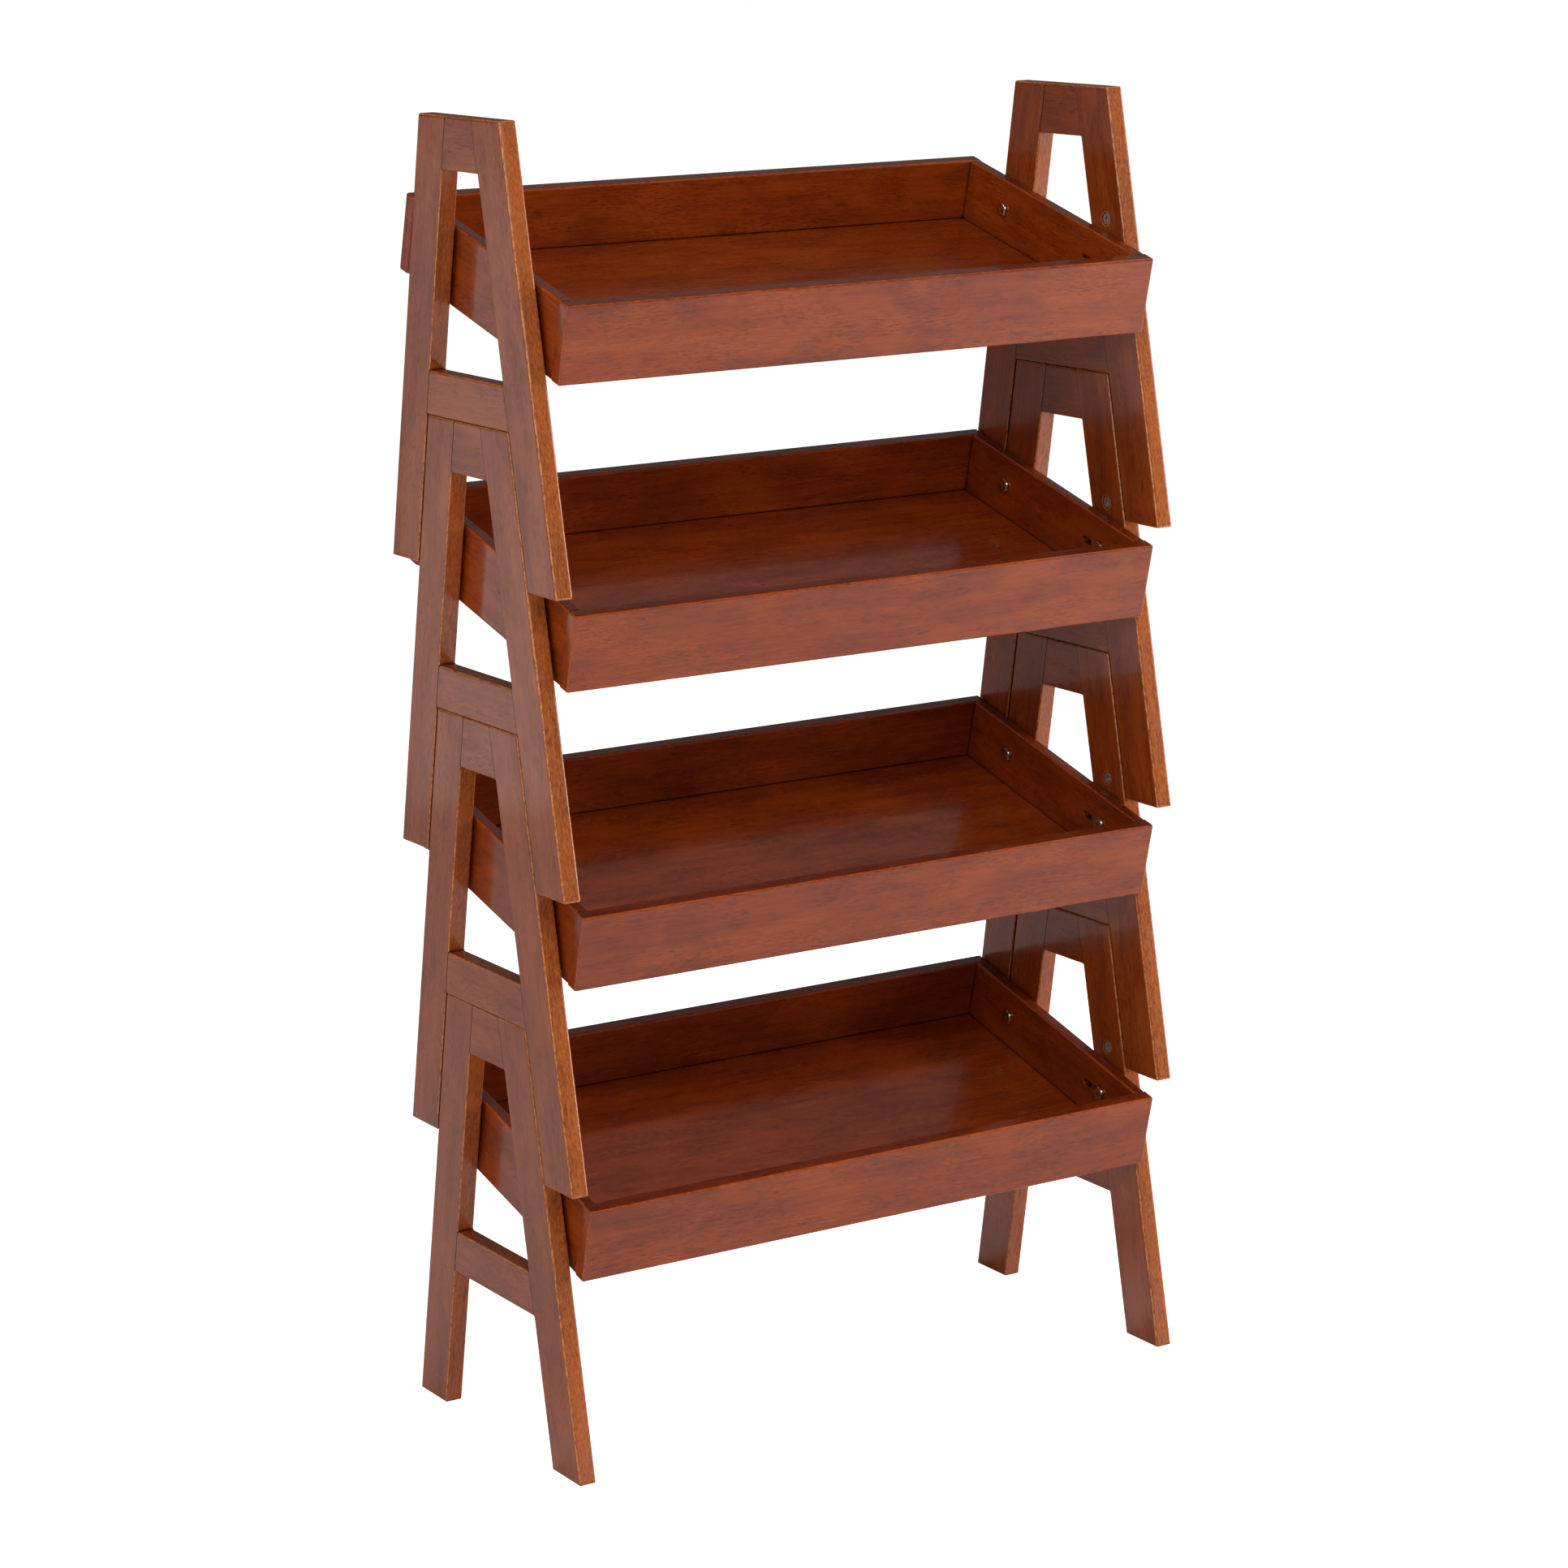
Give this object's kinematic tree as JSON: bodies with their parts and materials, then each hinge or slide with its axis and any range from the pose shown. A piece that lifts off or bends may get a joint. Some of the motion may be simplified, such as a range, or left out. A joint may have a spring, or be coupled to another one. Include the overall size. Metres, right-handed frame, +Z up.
{
  "type": "ladder shelf",
  "caption": "Free-standing ladder shelf of stacking wooden units; each shallow tray tilts between leaning A-shaped end frames and bolts into place.",
  "frame": {"origin": "on the floor, at the middle of the footprint of the four feet; the trays' back edges reach 6 mm past the rear feet, so the bounding box is centred 3 mm behind it", "axes": "+X to the right along the trays, +Y to the back, +Z up; the trays' open, lowered side faces -Y"},
  "size_m": [0.725, 0.3455, 1.332],
  "materials": {
    "frame_wood": "chestnut stain under satin lacquer",
    "tray_wood": "chestnut stain under satin lacquer",
    "bolt_metal": "plated, slightly yellow, worn bright",
    "insert_metal": "dull zinc grey"
  },
  "bodies": {
    "tier1_frame": {"tier1_left_front_leg": "frame_wood", "tier1_left_rear_leg": "frame_wood", "tier1_right_front_leg": "frame_wood", "tier1_right_rear_leg": "frame_wood", "tier1_top_blocks": "frame_wood", "tier1_left_crossbar": "frame_wood", "tier1_right_crossbar": "frame_wood", "tier1_pivot_bolts": "bolt_metal", "tier1_threaded_inserts": "insert_metal"},
    "tier1_tray": {"tier1_tray_front_board": "tray_wood", "tier1_tray_back_board": "tray_wood", "tier1_tray_left_end": "tray_wood", "tier1_tray_right_end": "tray_wood", "tier1_tray_bottom_panel": "tray_wood"},
    "tier1_front_bolts": {"tier1_front_bolts": "bolt_metal"},
    "tier2_frame": {"tier2_left_front_leg": "frame_wood", "tier2_left_rear_leg": "frame_wood", "tier2_right_front_leg": "frame_wood", "tier2_right_rear_leg": "frame_wood", "tier2_top_blocks": "frame_wood", "tier2_left_crossbar": "frame_wood", "tier2_right_crossbar": "frame_wood", "tier2_pivot_bolts": "bolt_metal", "tier2_threaded_inserts": "insert_metal"},
    "tier2_tray": {"tier2_tray_front_board": "tray_wood", "tier2_tray_back_board": "tray_wood", "tier2_tray_left_end": "tray_wood", "tier2_tray_right_end": "tray_wood", "tier2_tray_bottom_panel": "tray_wood"},
    "tier2_front_bolts": {"tier2_front_bolts": "bolt_metal"},
    "tier3_frame": {"tier3_left_front_leg": "frame_wood", "tier3_left_rear_leg": "frame_wood", "tier3_right_front_leg": "frame_wood", "tier3_right_rear_leg": "frame_wood", "tier3_top_blocks": "frame_wood", "tier3_left_crossbar": "frame_wood", "tier3_right_crossbar": "frame_wood", "tier3_pivot_bolts": "bolt_metal", "tier3_threaded_inserts": "insert_metal"},
    "tier3_tray": {"tier3_tray_front_board": "tray_wood", "tier3_tray_back_board": "tray_wood", "tier3_tray_left_end": "tray_wood", "tier3_tray_right_end": "tray_wood", "tier3_tray_bottom_panel": "tray_wood"},
    "tier3_front_bolts": {"tier3_front_bolts": "bolt_metal"},
    "tier4_frame": {"tier4_left_front_leg": "frame_wood", "tier4_left_rear_leg": "frame_wood", "tier4_right_front_leg": "frame_wood", "tier4_right_rear_leg": "frame_wood", "tier4_top_blocks": "frame_wood", "tier4_left_crossbar": "frame_wood", "tier4_right_crossbar": "frame_wood", "tier4_pivot_bolts": "bolt_metal", "tier4_threaded_inserts": "insert_metal"},
    "tier4_tray": {"tier4_tray_front_board": "tray_wood", "tier4_tray_back_board": "tray_wood", "tier4_tray_left_end": "tray_wood", "tier4_tray_right_end": "tray_wood", "tier4_tray_bottom_panel": "tray_wood"},
    "tier4_front_bolts": {"tier4_front_bolts": "bolt_metal"}
  },
  "joints": [
    {"name": "tier1_tray_tilt", "type": "hinge", "parent": "tier1_frame", "child": "tier1_tray", "pos_m": [0, 0.08108, 0.312], "axis": [-1, 0, 0], "range_deg": [0, 15], "deforming": ["tier1_front_bolts"]},
    {"name": "tier1_bolt_shift", "type": "slide", "parent": "tier1_tray", "child": "tier1_front_bolts", "axis": [0, 0.9638, 0.2665], "range_m": [0, 0.01513]},
    {"name": "tier2_lift", "type": "slide", "parent": "tier1_frame", "child": "tier2_frame", "axis": [0, 0, 1], "range_m": [0, 0.17]},
    {"name": "tier2_tray_tilt", "type": "hinge", "parent": "tier2_frame", "child": "tier2_tray", "pos_m": [0, 0.08108, 0.607], "axis": [-1, 0, 0], "range_deg": [0, 15], "deforming": ["tier2_front_bolts"]},
    {"name": "tier2_bolt_shift", "type": "slide", "parent": "tier2_tray", "child": "tier2_front_bolts", "axis": [0, 0.9638, 0.2665], "range_m": [0, 0.01513]},
    {"name": "tier3_lift", "type": "slide", "parent": "tier2_frame", "child": "tier3_frame", "axis": [0, 0, 1], "range_m": [0, 0.17]},
    {"name": "tier3_tray_tilt", "type": "hinge", "parent": "tier3_frame", "child": "tier3_tray", "pos_m": [0, 0.08108, 0.902], "axis": [-1, 0, 0], "range_deg": [0, 15], "deforming": ["tier3_front_bolts"]},
    {"name": "tier3_bolt_shift", "type": "slide", "parent": "tier3_tray", "child": "tier3_front_bolts", "axis": [0, 0.9638, 0.2665], "range_m": [0, 0.01513]},
    {"name": "tier4_lift", "type": "slide", "parent": "tier3_frame", "child": "tier4_frame", "axis": [0, 0, 1], "range_m": [0, 0.17]},
    {"name": "tier4_tray_tilt", "type": "hinge", "parent": "tier4_frame", "child": "tier4_tray", "pos_m": [0, 0.08108, 1.197], "axis": [-1, 0, 0], "range_deg": [0, 15], "deforming": ["tier4_front_bolts"]},
    {"name": "tier4_bolt_shift", "type": "slide", "parent": "tier4_tray", "child": "tier4_front_bolts", "axis": [0, 0.9638, 0.2665], "range_m": [0, 0.01513]}
  ],
  "couplings": [
    {"joint": "tier1_bolt_shift", "follows": "tier1_tray_tilt", "m_per_rad": 0.057785},
    {"joint": "tier2_bolt_shift", "follows": "tier2_tray_tilt", "m_per_rad": 0.057785},
    {"joint": "tier3_bolt_shift", "follows": "tier3_tray_tilt", "m_per_rad": 0.057785},
    {"joint": "tier4_bolt_shift", "follows": "tier4_tray_tilt", "m_per_rad": 0.057785}
  ]
}
